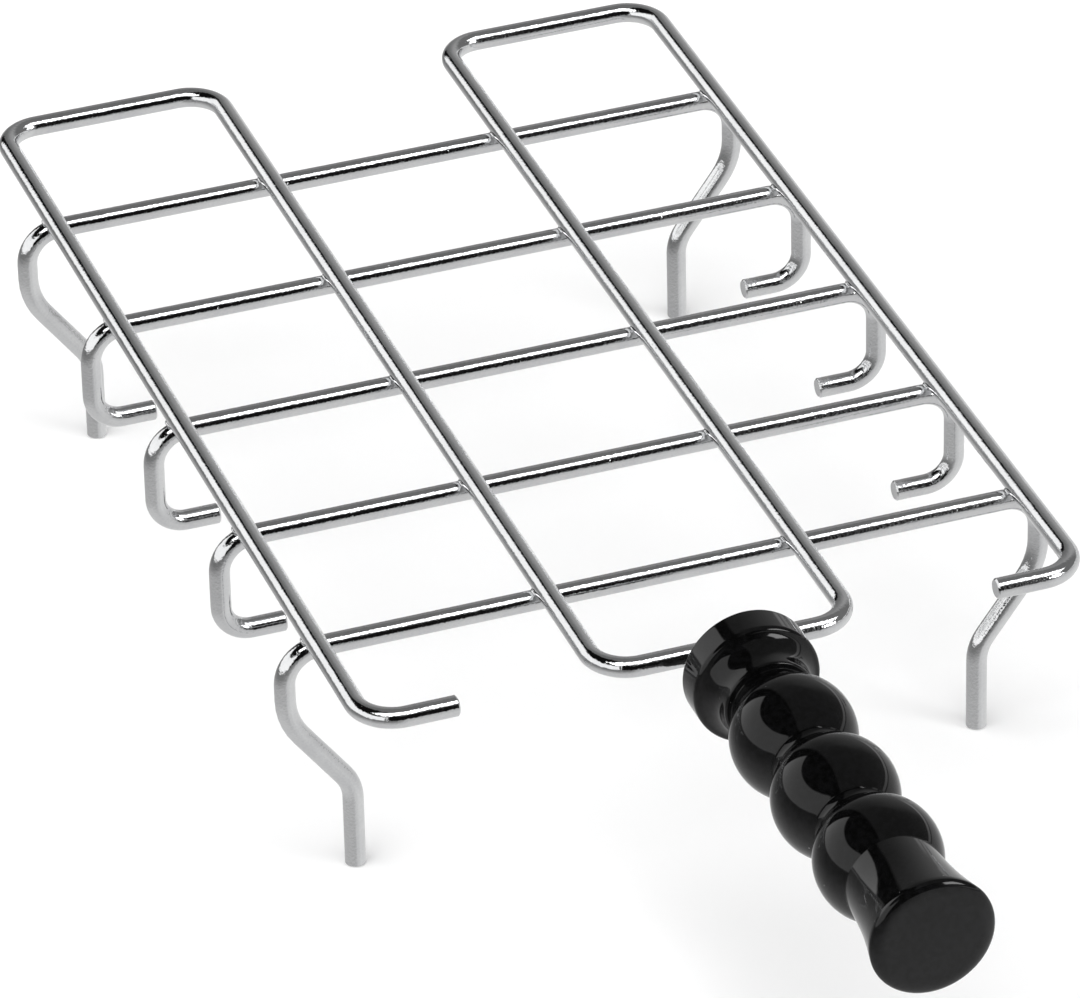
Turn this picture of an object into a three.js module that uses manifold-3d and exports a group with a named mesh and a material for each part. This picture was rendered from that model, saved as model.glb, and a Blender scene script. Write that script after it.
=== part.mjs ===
// Wire toast rack with a turned handle.
// One long wire is bent back and forth into the rails that carry the toast. Five cross wires are
// welded under it: the first and last run down into the legs, and the three between them curl
// under into open hooks. A turned handle screws onto a stud that stands out of the front crossbar.
// Millimetres, +Z up, +Y to the back, feet on z = 0, origin at the middle of the overall length.
import * as THREE from "three";
import { mergeVertices } from "three/addons/utils/BufferGeometryUtils.js";
import Module from "manifold-3d";

// Wire and welds
const WIRE_DIAMETER = 4;
const WELD_SINK = 0.3; // how far a cross wire is pressed into a rail when it is welded
const GAP = 0.3; // clearance between solids that touch on the real object
const WIRE_SIDES = 12;
const BEND_STEP = Math.PI / 12; // turn from one ring of a bend to the next

// Rails
const RACK_WIDTH = 140; // outer rail to outer rail, centre to centre
const INNER_WIDTH = 49.5; // inner rail to inner rail
const CROSS_PITCH = 40.85;
const BACK_OVERHANG = 34.5; // last cross wire to the back connectors
const FRONT_OVERHANG = 33.3; // first cross wire to the front crossbar
const CORNER_BEND = 7.5; // bend radii are those of the wire's centre line
const TAIL_LENGTH = 17.3; // outer rail to the cut end of the wire

// Legs, measured outwards and downwards from where a cross wire meets an outer rail
const TOP_BEND = 7;
const LEG_REACH = 5.2;
const LEG_SHOULDER_DROP = 15;
const LEG_SHOULDER_BEND = 14;
const LEG_INSET = 7.2;
const LEG_KNEE_DROP = 31.9;
const LEG_KNEE_BEND = 9;
const LEG_HEIGHT = 49.8;

// Hooks, measured the same way
const HOOK_REACH = 4.6;
const HOOK_DROP = 20.6;
const HOOK_BEND = 6;
const HOOK_INSET = 7.9;

// Handle, turned from one blank
const HANDLE_RISE = 0.6; // handle axis above the centre line of the rails
const COLLAR_RADIUS = 12.3;
const COLLAR_LENGTH = 6.8;
const COLLAR_EDGE = 0.5;
const SHOULDER_LENGTH = 6.4;
const NECK_RADIUS = 8.8;
const GROOVE_RADIUS = 7.5;
const GROOVE_WIDTH = 2.4;
const BEAD_RADIUS = 11.8;
const BEAD_COUNT = 3;
const FLARE_NECK_RADIUS = 9.3; // where the flare runs out of the last bead
const FLARE_LENGTH = 18;
const FLARE_HOLLOW = 0.5; // how far the flare curves in from a straight cone
const END_RADIUS = 11.8;
const END_EDGE = 1.6;
const HANDLE_SIDES = 32;
const BEAD_PIECES = 10; // straight pieces of each curve in the outline
const FLARE_PIECES = 6;
const END_EDGE_PIECES = 4;

// Screw fixing of the handle; the walls are measured outwards from the stud's clearance hole
const STUD_DIAMETER = 5;
const STUD_IN_INSERT = 12;
const STUD_CHAMFER = 0.6;
const NUT_WALL = 1.2; // hole to the middle of a flat
const NUT_THICKNESS = 4;
const WASHER_WALL = 2.7;
const WASHER_THICKNESS = 1;
const INSERT_WALL = 1.2;
const INSERT_LENGTH = 13;
const INSERT_FLANGE_LIP = 0.75; // how far the flange stands out from the sleeve
const INSERT_FLANGE = 1;
const INSERT_GROOVE_DEPTH = 0.3;
const INSERT_GROOVE_SLOPE = 0.6; // length of each sloping side of a retaining groove
const INSERT_GROOVE_FLOOR = 1.2;
const INSERT_GROOVE_COUNT = 2;
const DRILL_POINT = 1.5;
const FIXING_SIDES = 24;

// Worked out from the sizes above
const wireRadius = WIRE_DIAMETER / 2;
const crossZ = LEG_HEIGHT;
const railZ = crossZ + WIRE_DIAMETER - WELD_SINK;
const outerX = RACK_WIDTH / 2;
const innerX = INNER_WIDTH / 2;
const backCrossY = 2 * CROSS_PITCH;
const backY = backCrossY + BACK_OVERHANG;
const frontY = -backCrossY - FRONT_OVERHANG;
const handleZ = railZ + HANDLE_RISE;
const studBackY = frontY - wireRadius - GAP;
const nutBackY = studBackY - GAP;
const washerBackY = nutBackY - NUT_THICKNESS - GAP;
const collarY = washerBackY - WASHER_THICKNESS - GAP;
const insertBackY = collarY - GAP;
const clearanceRadius = STUD_DIAMETER / 2 + GAP; // the hole that the stud passes through
const nutFlatRadius = clearanceRadius + NUT_WALL;
const insertRadius = clearanceRadius + INSERT_WALL;
const flangeRadius = insertRadius + INSERT_FLANGE_LIP;
const recessRadius = flangeRadius + GAP;
const recessDepth = INSERT_FLANGE + 2 * GAP;
const boreRadius = insertRadius + GAP;
const boreDepth = INSERT_LENGTH + 2 * GAP;

const chrome = { color: 0xc9ccd0, roughness: 0.12, metalness: 1 };
const steel = { color: 0xa9acb0, roughness: 0.35, metalness: 1 };
const brass = { color: 0xb08d4c, roughness: 0.3, metalness: 1 };
const glossBlack = { color: 0x0a0a0b, roughness: 0.08, metalness: 0 };

const wasm = await Module();
wasm.setup();

// A wire bent round a list of corners. Its stations are the two ends and the rings of each bend,
// so a straight stretch is a single step.
class BentWire extends THREE.Curve {
  constructor(corners) {
    super();
    this.points = [];
    this.tangents = [];
    corners.forEach((corner, i) => this.addCorner(corners[i - 1], corner, corners[i + 1]));
    this.steps = this.points.length - 1;
  }

  addCorner(before, corner, after) {
    if (!before || !after) {
      const [from, to] = before ? [before, corner] : [corner, after];
      this.addStation(corner.at, to.at.clone().sub(from.at).normalize());
      return;
    }
    const into = corner.at.clone().sub(before.at).normalize();
    const out = after.at.clone().sub(corner.at).normalize();
    const turn = into.angleTo(out);
    const axis = into.clone().cross(out).normalize();
    const start = corner.at.clone().addScaledVector(into, -corner.bend * Math.tan(turn / 2));
    const centre = start.clone().addScaledVector(axis.clone().cross(into), corner.bend);
    const rings = Math.max(2, Math.ceil(turn / BEND_STEP));
    for (let ring = 0; ring <= rings; ring += 1) {
      const angle = (turn * ring) / rings;
      const spoke = start.clone().sub(centre).applyAxisAngle(axis, angle);
      this.addStation(centre.clone().add(spoke), into.clone().applyAxisAngle(axis, angle));
    }
  }

  addStation(point, tangent) {
    this.points.push(point.clone());
    this.tangents.push(tangent);
  }

  getPointAt(u, target = new THREE.Vector3()) {
    return target.copy(this.points[Math.round(u * this.steps)]);
  }

  getTangentAt(u, target = new THREE.Vector3()) {
    return target.copy(this.tangents[Math.round(u * this.steps)]);
  }
}

function corner(x, y, z, bend = 0) {
  return { at: new THREE.Vector3(x, y, z), bend };
}

function wireGeometry(corners, radius = wireRadius) {
  const section = new THREE.Shape();
  section.absarc(0, 0, radius, 0, 2 * Math.PI, false);
  const path = new BentWire(corners);
  return new THREE.ExtrudeGeometry(section, {
    steps: path.steps,
    curveSegments: WIRE_SIDES / 2, // an arc gets two pieces for each
    extrudePath: path,
  });
}

function solidOf(geometry) {
  const bare = geometry.clone();
  bare.deleteAttribute("normal");
  bare.deleteAttribute("uv");
  const merged = mergeVertices(bare);
  return new wasm.Manifold(
    new wasm.Mesh({
      numProp: 3,
      vertProperties: merged.attributes.position.array,
      triVerts: new Uint32Array(merged.index.array),
    }),
  );
}

function geometryOf(solid) {
  const mesh = solid.getMesh();
  const geometry = new THREE.BufferGeometry();
  geometry.setAttribute("position", new THREE.BufferAttribute(mesh.vertProperties, 3));
  geometry.setIndex(new THREE.BufferAttribute(mesh.triVerts, 1));
  return geometry;
}

// A body turned about an axis along Y: its outline is a list of [radius, y] pairs, drawn from the
// front to the back.
function turned(outline, sides) {
  return new THREE.LatheGeometry(
    outline.map(([radius, y]) => new THREE.Vector2(radius, y)),
    sides,
  );
}

// Points of an arc in the outline, from one angle to another, measured from the axis direction.
function arc(centreRadius, centreY, radius, from, to, pieces) {
  return Array.from({ length: pieces + 1 }, (_, i) => {
    const angle = from + ((to - from) * i) / pieces;
    return [centreRadius + radius * Math.sin(angle), centreY + radius * Math.cos(angle)];
  });
}

// The rails: tail, outer rail, back connector, inner rail, front crossbar, and the same mirrored.
function gridWireCorners() {
  const half = [
    corner(-outerX + TAIL_LENGTH, frontY, railZ),
    corner(-outerX, frontY, railZ, CORNER_BEND),
    corner(-outerX, backY, railZ, CORNER_BEND),
    corner(-innerX, backY, railZ, CORNER_BEND),
    corner(-innerX, frontY, railZ, CORNER_BEND),
  ];
  const other = half.map(({ at, bend }) => corner(-at.x, at.y, at.z, bend)).reverse();
  return [...half, ...other];
}

// Half of a cross wire, from the rack's middle outwards; each drop is measured from the wire.
function crossWireCorners(y, half) {
  const right = half.map(({ out, drop, bend }) => corner(outerX + out, y, crossZ - drop, bend));
  const left = right.map(({ at, bend }) => corner(-at.x, at.y, at.z, bend)).reverse();
  return [...left, ...right];
}

const legHalf = [
  { out: LEG_REACH, drop: 0, bend: TOP_BEND },
  { out: LEG_REACH, drop: LEG_SHOULDER_DROP, bend: LEG_SHOULDER_BEND },
  { out: -LEG_INSET, drop: LEG_KNEE_DROP, bend: LEG_KNEE_BEND },
  { out: -LEG_INSET, drop: LEG_HEIGHT, bend: 0 },
];

const hookHalf = [
  { out: HOOK_REACH, drop: 0, bend: TOP_BEND },
  { out: HOOK_REACH, drop: HOOK_DROP, bend: HOOK_BEND },
  { out: -HOOK_INSET, drop: HOOK_DROP, bend: 0 },
];

// Each cross wire has a shallow seat under every rail, where the weld lets it sink in.
const railClearance = [-outerX, -innerX, innerX, outerX].map((x) => {
  const ends = [corner(x, -backCrossY - CROSS_PITCH / 2, railZ), corner(x, backY, railZ)];
  return solidOf(wireGeometry(ends, wireRadius + GAP));
});

function crossWireGeometry(y, half) {
  const wire = solidOf(wireGeometry(crossWireCorners(y, half)));
  return geometryOf(railClearance.reduce((left, rail) => left.subtract(rail), wire));
}

// Outline of the handle from the end face to the collar, then down the bore to its drill point.
function handleOutline() {
  const beadHalf = Math.sqrt(BEAD_RADIUS ** 2 - GROOVE_RADIUS ** 2);
  const grooveAngle = Math.asin(GROOVE_RADIUS / BEAD_RADIUS);
  const flareAngle = Math.asin(FLARE_NECK_RADIUS / BEAD_RADIUS);
  const beadPitch = 2 * beadHalf + GROOVE_WIDTH;
  const shoulderY = collarY - COLLAR_LENGTH;
  const neckY = shoulderY - SHOULDER_LENGTH;
  const firstBeadY = neckY - GROOVE_WIDTH - beadHalf;
  const lastBeadY = firstBeadY - (BEAD_COUNT - 1) * beadPitch;
  const flareY = lastBeadY - BEAD_RADIUS * Math.cos(flareAngle);
  const rimY = flareY - FLARE_LENGTH;
  const endY = rimY - END_EDGE;
  const endEdge = arc(END_RADIUS - END_EDGE, rimY, END_EDGE, Math.PI, Math.PI / 2, END_EDGE_PIECES);
  const flare = Array.from({ length: FLARE_PIECES - 1 }, (_, i) => {
    const along = (i + 1) / FLARE_PIECES;
    const radius = THREE.MathUtils.lerp(END_RADIUS, FLARE_NECK_RADIUS, along);
    return [radius - FLARE_HOLLOW * Math.sin(Math.PI * along), rimY + FLARE_LENGTH * along];
  });
  const beads = [];
  for (let bead = BEAD_COUNT - 1; bead >= 0; bead -= 1) {
    const y = firstBeadY - bead * beadPitch;
    const frontAngle = bead === BEAD_COUNT - 1 ? flareAngle : grooveAngle;
    beads.push(...arc(0, y, BEAD_RADIUS, Math.PI - frontAngle, grooveAngle, BEAD_PIECES));
  }
  return {
    endY,
    outline: [
      [0, endY],
      ...endEdge,
      ...flare,
      ...beads,
      [GROOVE_RADIUS, neckY],
      [NECK_RADIUS, neckY],
      [COLLAR_RADIUS - COLLAR_EDGE, shoulderY - COLLAR_EDGE],
      [COLLAR_RADIUS, shoulderY],
      [COLLAR_RADIUS, collarY - COLLAR_EDGE],
      [COLLAR_RADIUS - COLLAR_EDGE, collarY],
      [recessRadius, collarY],
      [recessRadius, collarY - recessDepth],
      [boreRadius, collarY - recessDepth],
      [boreRadius, collarY - boreDepth],
      [0, collarY - boreDepth - DRILL_POINT],
    ],
  };
}

// The brass insert: a flanged sleeve with retaining grooves spaced evenly along it, open at both
// ends.
function insertOutline() {
  const grooveRadius = insertRadius - INSERT_GROOVE_DEPTH;
  const frontY = insertBackY - INSERT_LENGTH;
  const sleeve = INSERT_LENGTH - INSERT_FLANGE;
  const grooveLength = INSERT_GROOVE_FLOOR + 2 * INSERT_GROOVE_SLOPE;
  const land = (sleeve - INSERT_GROOVE_COUNT * grooveLength) / (INSERT_GROOVE_COUNT + 1);
  const grooves = [];
  for (let groove = 0; groove < INSERT_GROOVE_COUNT; groove += 1) {
    const y = frontY + land + groove * (grooveLength + land);
    grooves.push([insertRadius, y]);
    grooves.push([grooveRadius, y + INSERT_GROOVE_SLOPE]);
    grooves.push([grooveRadius, y + grooveLength - INSERT_GROOVE_SLOPE]);
    grooves.push([insertRadius, y + grooveLength]);
  }
  return [
    [clearanceRadius, frontY],
    [insertRadius, frontY],
    ...grooves,
    [insertRadius, frontY + sleeve],
    [flangeRadius, frontY + sleeve],
    [flangeRadius, insertBackY],
    [clearanceRadius, insertBackY],
    [clearanceRadius, frontY],
  ];
}

function washerOutline() {
  const rim = clearanceRadius + WASHER_WALL;
  const front = washerBackY - WASHER_THICKNESS;
  return [
    [clearanceRadius, front],
    [rim, front],
    [rim, washerBackY],
    [clearanceRadius, washerBackY],
    [clearanceRadius, front],
  ];
}

function studOutline() {
  const radius = STUD_DIAMETER / 2;
  const front = collarY - STUD_IN_INSERT;
  return [
    [0, front],
    [radius - STUD_CHAMFER, front],
    [radius, front + STUD_CHAMFER],
    [radius, studBackY],
    [0, studBackY],
  ];
}

// A hexagon nut: the prism is trimmed by a turned blank that takes its corners off.
function nutGeometry() {
  const cornerRadius = (2 * nutFlatRadius) / Math.sqrt(3);
  const trim = (cornerRadius - nutFlatRadius) / 2;
  const front = nutBackY - NUT_THICKNESS;
  const middle = nutBackY - NUT_THICKNESS / 2;
  const hexagon = new THREE.CylinderGeometry(cornerRadius, cornerRadius, NUT_THICKNESS, 6);
  hexagon.translate(0, middle, 0);
  const blankOutline = [
    [0, front],
    [nutFlatRadius, front],
    [cornerRadius, front + trim],
    [cornerRadius, nutBackY - trim],
    [nutFlatRadius, nutBackY],
    [0, nutBackY],
  ];
  const blank = solidOf(turned(blankOutline, FIXING_SIDES));
  const hole = new THREE.CylinderGeometry(
    clearanceRadius,
    clearanceRadius,
    2 * NUT_THICKNESS,
    FIXING_SIDES,
  );
  hole.translate(0, middle, 0);
  return geometryOf(solidOf(hexagon).intersect(blank).subtract(solidOf(hole)));
}

const handle = handleOutline();
const rack = new THREE.Group();
const wires = new THREE.Group();
const fixing = new THREE.Group();
fixing.position.z = handleZ;
rack.add(wires, fixing);
rack.position.y = -(backY + wireRadius + handle.endY) / 2;

function addPart(group, name, geometry, finish) {
  const mesh = new THREE.Mesh(geometry, new THREE.MeshStandardMaterial(finish));
  mesh.name = name;
  group.add(mesh);
}

addPart(wires, "grid_wire", wireGeometry(gridWireCorners()), chrome);
addPart(wires, "back_leg_wire", crossWireGeometry(backCrossY, legHalf), chrome);
addPart(wires, "back_hook_wire", crossWireGeometry(CROSS_PITCH, hookHalf), chrome);
addPart(wires, "middle_hook_wire", crossWireGeometry(0, hookHalf), chrome);
addPart(wires, "front_hook_wire", crossWireGeometry(-CROSS_PITCH, hookHalf), chrome);
addPart(wires, "front_leg_wire", crossWireGeometry(-backCrossY, legHalf), chrome);

addPart(fixing, "handle_grip", turned(handle.outline, HANDLE_SIDES), glossBlack);
addPart(fixing, "threaded_insert", turned(insertOutline(), FIXING_SIDES), brass);
addPart(fixing, "handle_stud", turned(studOutline(), FIXING_SIDES), steel);
addPart(fixing, "lock_nut", nutGeometry(), steel);
addPart(fixing, "washer", turned(washerOutline(), FIXING_SIDES), steel);

export default rack;
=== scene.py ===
# %% [markdown]
# # A chrome wire toast rack with a turned handle
# The rack is one long wire, bent back and forth into rails, with five cross wires welded under
# it. The outer cross wires end in legs and the inner three in hooks. A glossy black handle is
# screwed to the front. This lesson builds the fine version of every piece round the fixed
# CAD model, which says where each piece goes and how large it is.

# %% Load the fixed frame
import math
import random

import bpy
import bmesh
from mathutils import Matrix, Vector


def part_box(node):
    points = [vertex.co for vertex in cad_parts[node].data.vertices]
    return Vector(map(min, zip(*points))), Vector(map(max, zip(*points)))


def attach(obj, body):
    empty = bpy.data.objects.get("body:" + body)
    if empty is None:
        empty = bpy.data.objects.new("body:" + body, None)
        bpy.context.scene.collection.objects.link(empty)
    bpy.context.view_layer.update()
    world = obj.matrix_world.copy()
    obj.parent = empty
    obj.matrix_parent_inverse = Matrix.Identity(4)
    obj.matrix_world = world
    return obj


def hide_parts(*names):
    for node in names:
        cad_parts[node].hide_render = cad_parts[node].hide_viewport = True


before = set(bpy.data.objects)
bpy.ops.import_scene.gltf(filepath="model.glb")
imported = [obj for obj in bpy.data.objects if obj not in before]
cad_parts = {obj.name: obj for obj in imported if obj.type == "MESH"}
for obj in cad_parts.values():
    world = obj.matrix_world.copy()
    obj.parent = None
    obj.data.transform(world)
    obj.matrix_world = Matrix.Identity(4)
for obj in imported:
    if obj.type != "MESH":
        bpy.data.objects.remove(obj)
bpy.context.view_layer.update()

MM = 0.001

# %% [markdown]
# ## Measuring the frame
# Every place comes from the boxes of the CAD nodes. A wire node's box is one wire radius larger
# than the wire's centre line on each side, so the centre lines are worked out first. Only what a
# box can't show, such as a bend radius, is a named size of its own.

# %% Centre lines of the wires
grid_low, grid_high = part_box("grid_wire")
wire_radius = (grid_high.z - grid_low.z) / 2
rail_z = grid_high.z - wire_radius
outer_x = grid_high.x - wire_radius
back_y = grid_high.y - wire_radius
front_y = grid_low.y + wire_radius

INNER_X = 24.75 * MM
CORNER_BEND = 7.5 * MM
TAIL_LENGTH = 17.3 * MM
TOP_BEND = 7 * MM

LEG_WIRES = ("back_leg_wire", "front_leg_wire")
HOOK_WIRES = ("back_hook_wire", "middle_hook_wire", "front_hook_wire")


def cross_wire_place(node):
    """The y of a cross wire, and the height of its straight part."""
    low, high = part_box(node)
    return (low.y + high.y) / 2, high.z - wire_radius


print("wire", round(2 * wire_radius / MM, 2), "mm thick; rails at", round(rail_z / MM, 2))

# %% [markdown]
# ## The camera
# A long lens from a good distance keeps the wires nearly parallel. The camera stands to the left
# of the handle, looks down by about a third of a right angle, and is rolled by a degree.

# %% Place the camera
CAMERA_AZIMUTH = math.radians(-18.996)
CAMERA_ELEVATION = math.radians(32.319)
CAMERA_ROLL = math.radians(-1.428)
LENS = 287.19
SENSOR_WIDTH = 36
NEAREST = 0.05
CAMERA_FROM_MIDDLE = Vector((-461.52, -1351.39, 867.63)) * MM
middle_y, _ = cross_wire_place("middle_hook_wire")
camera_place = Vector((0, middle_y, rail_z)) + CAMERA_FROM_MIDDLE

camera_data = bpy.data.cameras.new("camera")
camera_data.lens = LENS
camera_data.sensor_width = SENSOR_WIDTH
camera_data.clip_start = NEAREST
camera = bpy.data.objects.new("camera", camera_data)
bpy.context.scene.collection.objects.link(camera)
back = Vector((
    math.sin(CAMERA_AZIMUTH) * math.cos(CAMERA_ELEVATION),
    -math.cos(CAMERA_AZIMUTH) * math.cos(CAMERA_ELEVATION),
    math.sin(CAMERA_ELEVATION),
))
level = Vector((math.cos(CAMERA_AZIMUTH), math.sin(CAMERA_AZIMUTH), 0))
upright = back.cross(level)
right = level * math.cos(CAMERA_ROLL) + upright * math.sin(CAMERA_ROLL)
up = back.cross(right)
turn = Matrix((right, up, back)).transposed().to_4x4()
camera.matrix_world = Matrix.Translation(camera_place) @ turn
bpy.context.scene.camera = camera
print("camera", round(CAMERA_FROM_MIDDLE.length, 2), "m from the middle of the rack")

# %% [markdown]
# ## Shader arithmetic
# A material is a small calculation on sockets. Wrapping a socket in a class that knows how to
# add and multiply lets the recipe read as a formula: each operator adds one Math node.

# %% Add a node
def add_node(tree, kind, settings=None, out=0, **inputs):
    """Adds a node. Its settings are set first; an input is named, or numbered as _0, _1."""
    node = tree.nodes.new(kind)
    for name, value in (settings or {}).items():
        setattr(node, name, value)
    for name, value in inputs.items():
        key = int(name[1:]) if name[0] == "_" else name.replace("_", " ")
        if isinstance(value, Field):
            tree.links.new(value.socket, node.inputs[key])
        else:
            node.inputs[key].default_value = value
    return Field(tree, node.outputs[out])


def parts_of(field):
    """The x, y and z of a vector."""
    split = field.node("ShaderNodeSeparateXYZ", Vector=field)
    return [Field(field.tree, split.socket.node.outputs[i]) for i in range(3)]


print("a node takes its settings, then its inputs")

# %% [markdown]
# ### A socket that can be calculated with
# Python calls __add__ for a plus sign and __radd__ when the plain number stands first, so both
# are given. A ramp is a Map Range node with a smooth step, and fall is the same turned down.

# %% The class
class Field:
    """A node's output socket that takes part in arithmetic."""

    def __init__(self, tree, socket):
        self.tree = tree
        self.socket = socket

    def node(self, kind, settings=None, out=0, **inputs):
        return add_node(self.tree, kind, settings, out, **inputs)

    def math(self, operation, *others):
        values = dict(zip(("_0", "_1"), (self, *others)))
        return self.node("ShaderNodeMath", {"operation": operation}, **values)

    def __add__(self, other):
        return self.math("ADD", other)

    __radd__ = __add__

    def __mul__(self, other):
        return self.math("MULTIPLY", other)

    __rmul__ = __mul__

    def __sub__(self, other):
        return self.math("SUBTRACT", other)

    def __rsub__(self, other):
        return (self * -1.0) + other

    def most(self, other):
        return self.math("MAXIMUM", other)

    def ramp(self, low, high, from_value=0.0, to_value=1.0):
        """Smoothly from from_value at low to to_value at high, and flat beyond."""
        settings = {"interpolation_type": "SMOOTHSTEP"}
        values = {"From_Min": low, "From_Max": high, "To_Min": from_value, "To_Max": to_value}
        return self.node("ShaderNodeMapRange", settings, Value=self, **values)

    def fall(self, low, high):
        """Smoothly from 1 at low to 0 at high."""
        return self.ramp(low, high, 1.0, 0.0)

    def mix(self, low, high):
        """A colour between low where this is 0 and high where it is 1."""
        settings = {"data_type": "RGBA"}
        return self.node("ShaderNodeMix", settings, out=2, _0=self, _6=low, _7=high)


print("a Field can", ", ".join(name for name in vars(Field) if name[0] != "_"))

# %% [markdown]
# ## The studio
# Chrome shows only what stands round it, so the room matters more than the metal. The room is
# painted on the world: a grey back wall that brightens to the right, a dark camera side, a long
# row of windows on the left with dark wall above it, and a pale floor. On the right there are a
# small lamp and a bright strip low on the wall.

# %% The room's greys
WALL = 0.24
WALL_RIGHT = 0.54
WINDOWS = 1.6
DARK_PART = 0.97            # how much of the wall's light is missing where the room is dark
SIDE_LAMP = 9.0
FLOOR_LEFT = (0.9, 0.28)    # under the rack, and out at the horizon
FLOOR_RIGHT = (0.95, 0.78)
FLOOR_FAR_RIGHT = 0.12      # added to the floor at the far right
print("windows", round(WINDOWS / WALL, 1), "times as bright as the wall")

# %% [markdown]
# ### Where the parts of the room begin and end
# Each part is a smooth step in x, y or z, the direction in which a reflection looks: x is to the
# right, y to the back and z up. An edge is soft, from the first number to the second.

# %% The edges
WALL_RIGHT_FROM, WALL_RIGHT_DEPTH, WALL_RIGHT_TOP = (-0.05, 0.65), (0.4, 0.7), (0.6, 0.75)
DARK_LEFT_END = (-0.16, -0.08)
DARK_FRONT_DEPTH, DARK_FRONT_TOP, DARK_FRONT_END = (-0.06, 0.02), (0.64, 0.70), (0.3, 0.45)
WINDOWS_END, WINDOWS_TOP = (-0.03, 0.0), (0.57, 0.61)
WINDOWS_FRONT_SLANT, WINDOWS_BACK_SLANT = -0.65, 0.4
STRIP_FROM, STRIP_FOOT, STRIP_TOP = (0.5, 0.7), (0.03, 0.05), (0.11, 0.14)
LAMP_FROM, LAMP_DEPTH = (0.45, 0.5), (-0.54, -0.5)
LAMP_FOOT, LAMP_TOP = (0.24, 0.28), (0.52, 0.56)
FLOOR_LEFT_REACH, FLOOR_RIGHT_REACH = (-0.85, -0.1), (-0.6, -0.05)
FLOOR_MIDDLE, FLOOR_FAR_RIGHT_FROM = (-0.25, 0.25), (0.32, 0.62)
HORIZON = (-0.02, 0.02)
print("the windows end", round(math.degrees(math.asin(WINDOWS_TOP[1]))), "degrees up")

# %% [markdown]
# ### Painting the room
# Walls, strip, lamp and floor are four formulas, joined at the horizon. What the camera sees
# directly is plain white, so that the room shows in the metal only.

# %% Paint it on the world
def wall_light(x, y, z):
    right_part = x.ramp(*WALL_RIGHT_FROM) * y.ramp(*WALL_RIGHT_DEPTH) * z.fall(*WALL_RIGHT_TOP)
    wall = WALL + (WALL_RIGHT - WALL) * right_part
    dark_front = y.fall(*DARK_FRONT_DEPTH) * z.fall(*DARK_FRONT_TOP) * x.fall(*DARK_FRONT_END)
    above = wall * (1.0 - DARK_PART * x.fall(*DARK_LEFT_END).most(dark_front))
    beyond_ends = x + (y * WINDOWS_FRONT_SLANT).most(y * WINDOWS_BACK_SLANT)
    windows = beyond_ends.fall(*WINDOWS_END) * z.fall(*WINDOWS_TOP)
    return above + windows * (WINDOWS - above)


def strip_light(x, z):
    return x.ramp(*STRIP_FROM) * z.ramp(*STRIP_FOOT) * z.fall(*STRIP_TOP)


def lamp_light(x, y, z):
    across = x.ramp(*LAMP_FROM) * y.fall(*LAMP_DEPTH)
    return across * z.ramp(*LAMP_FOOT) * z.fall(*LAMP_TOP) * SIDE_LAMP


def floor_light(x, z):
    left = z.ramp(*FLOOR_LEFT_REACH, *FLOOR_LEFT)
    right_side = z.ramp(*FLOOR_RIGHT_REACH, *FLOOR_RIGHT)
    below = left + x.ramp(*FLOOR_MIDDLE) * (right_side - left)
    return below + x.ramp(*FLOOR_FAR_RIGHT_FROM, 0.0, FLOOR_FAR_RIGHT)


def make_room():
    world = bpy.data.worlds.new("studio")
    bpy.context.scene.world = world
    world.use_nodes = True
    tree = world.node_tree
    tree.nodes.clear()
    x, y, z = parts_of(add_node(tree, "ShaderNodeTexCoord"))
    above = wall_light(x, y, z) + strip_light(x, z) + lamp_light(x, y, z)
    below = floor_light(x, z)
    light = below + z.ramp(*HORIZON) * (above - below)
    seen_directly = add_node(tree, "ShaderNodeLightPath")
    light = light + seen_directly * (1.0 - light)
    glow = add_node(tree, "ShaderNodeBackground", Strength=light)
    output = tree.nodes.new("ShaderNodeOutputWorld")
    tree.links.new(glow.socket, output.inputs["Surface"])
    return world


room = make_room()
bpy.context.scene.view_settings.view_transform = "Standard"
print("the room is made of", len(room.node_tree.nodes), "nodes")

# %% [markdown]
# ### Floor and lamps
# A plain white sheet is the floor. Its own lamp, a very soft sun that lights nothing else, keeps
# it white with faint contact shadows. A long softbox hangs over the camera for the bright line
# along the wires. Light linking keeps it off the handle, which would otherwise lose its black.

# %% Lay the floor
SHEET_SIZE = 12
SHEET_DROP = 0.02 * MM      # the feet stand on the sheet and don't share its plane
PAPER = (0.93, 0.93, 0.93, 1)
PAPER_ROUGHNESS = 0.9
PAPER_SPECULAR = 0.1


def new_material(name):
    """A new material, its node tree and its shader."""
    material = bpy.data.materials.new(name)
    material.use_nodes = True
    return material, material.node_tree, material.node_tree.nodes["Principled BSDF"]


def deselect():
    if bpy.context.mode != "OBJECT":
        bpy.ops.object.mode_set(mode="OBJECT")
    bpy.ops.object.select_all(action="DESELECT")


def make_floor():
    deselect()
    bpy.ops.mesh.primitive_plane_add(size=SHEET_SIZE, location=(0, 0, -SHEET_DROP))
    sheet = bpy.context.object
    sheet.name = "floor"
    paper, _, shader = new_material("white paper")
    shader.inputs["Base Color"].default_value = PAPER
    shader.inputs["Roughness"].default_value = PAPER_ROUGHNESS
    shader.inputs["Specular IOR Level"].default_value = PAPER_SPECULAR
    sheet.data.materials.append(paper)
    sheet.visible_glossy = False      # the metal sees the floor that the room is painted with
    return sheet


floor = make_floor()
print("floor of", SHEET_SIZE, "m, in", len(floor.data.polygons), "face")

# %% [markdown]
# ### Hanging the lamps
# An area lamp's energy is in watts, so it is worked out from the radiance that the metal should
# see and the lamp's area. A lamp looks along its own negative z, which to_track_quat turns.

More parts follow.
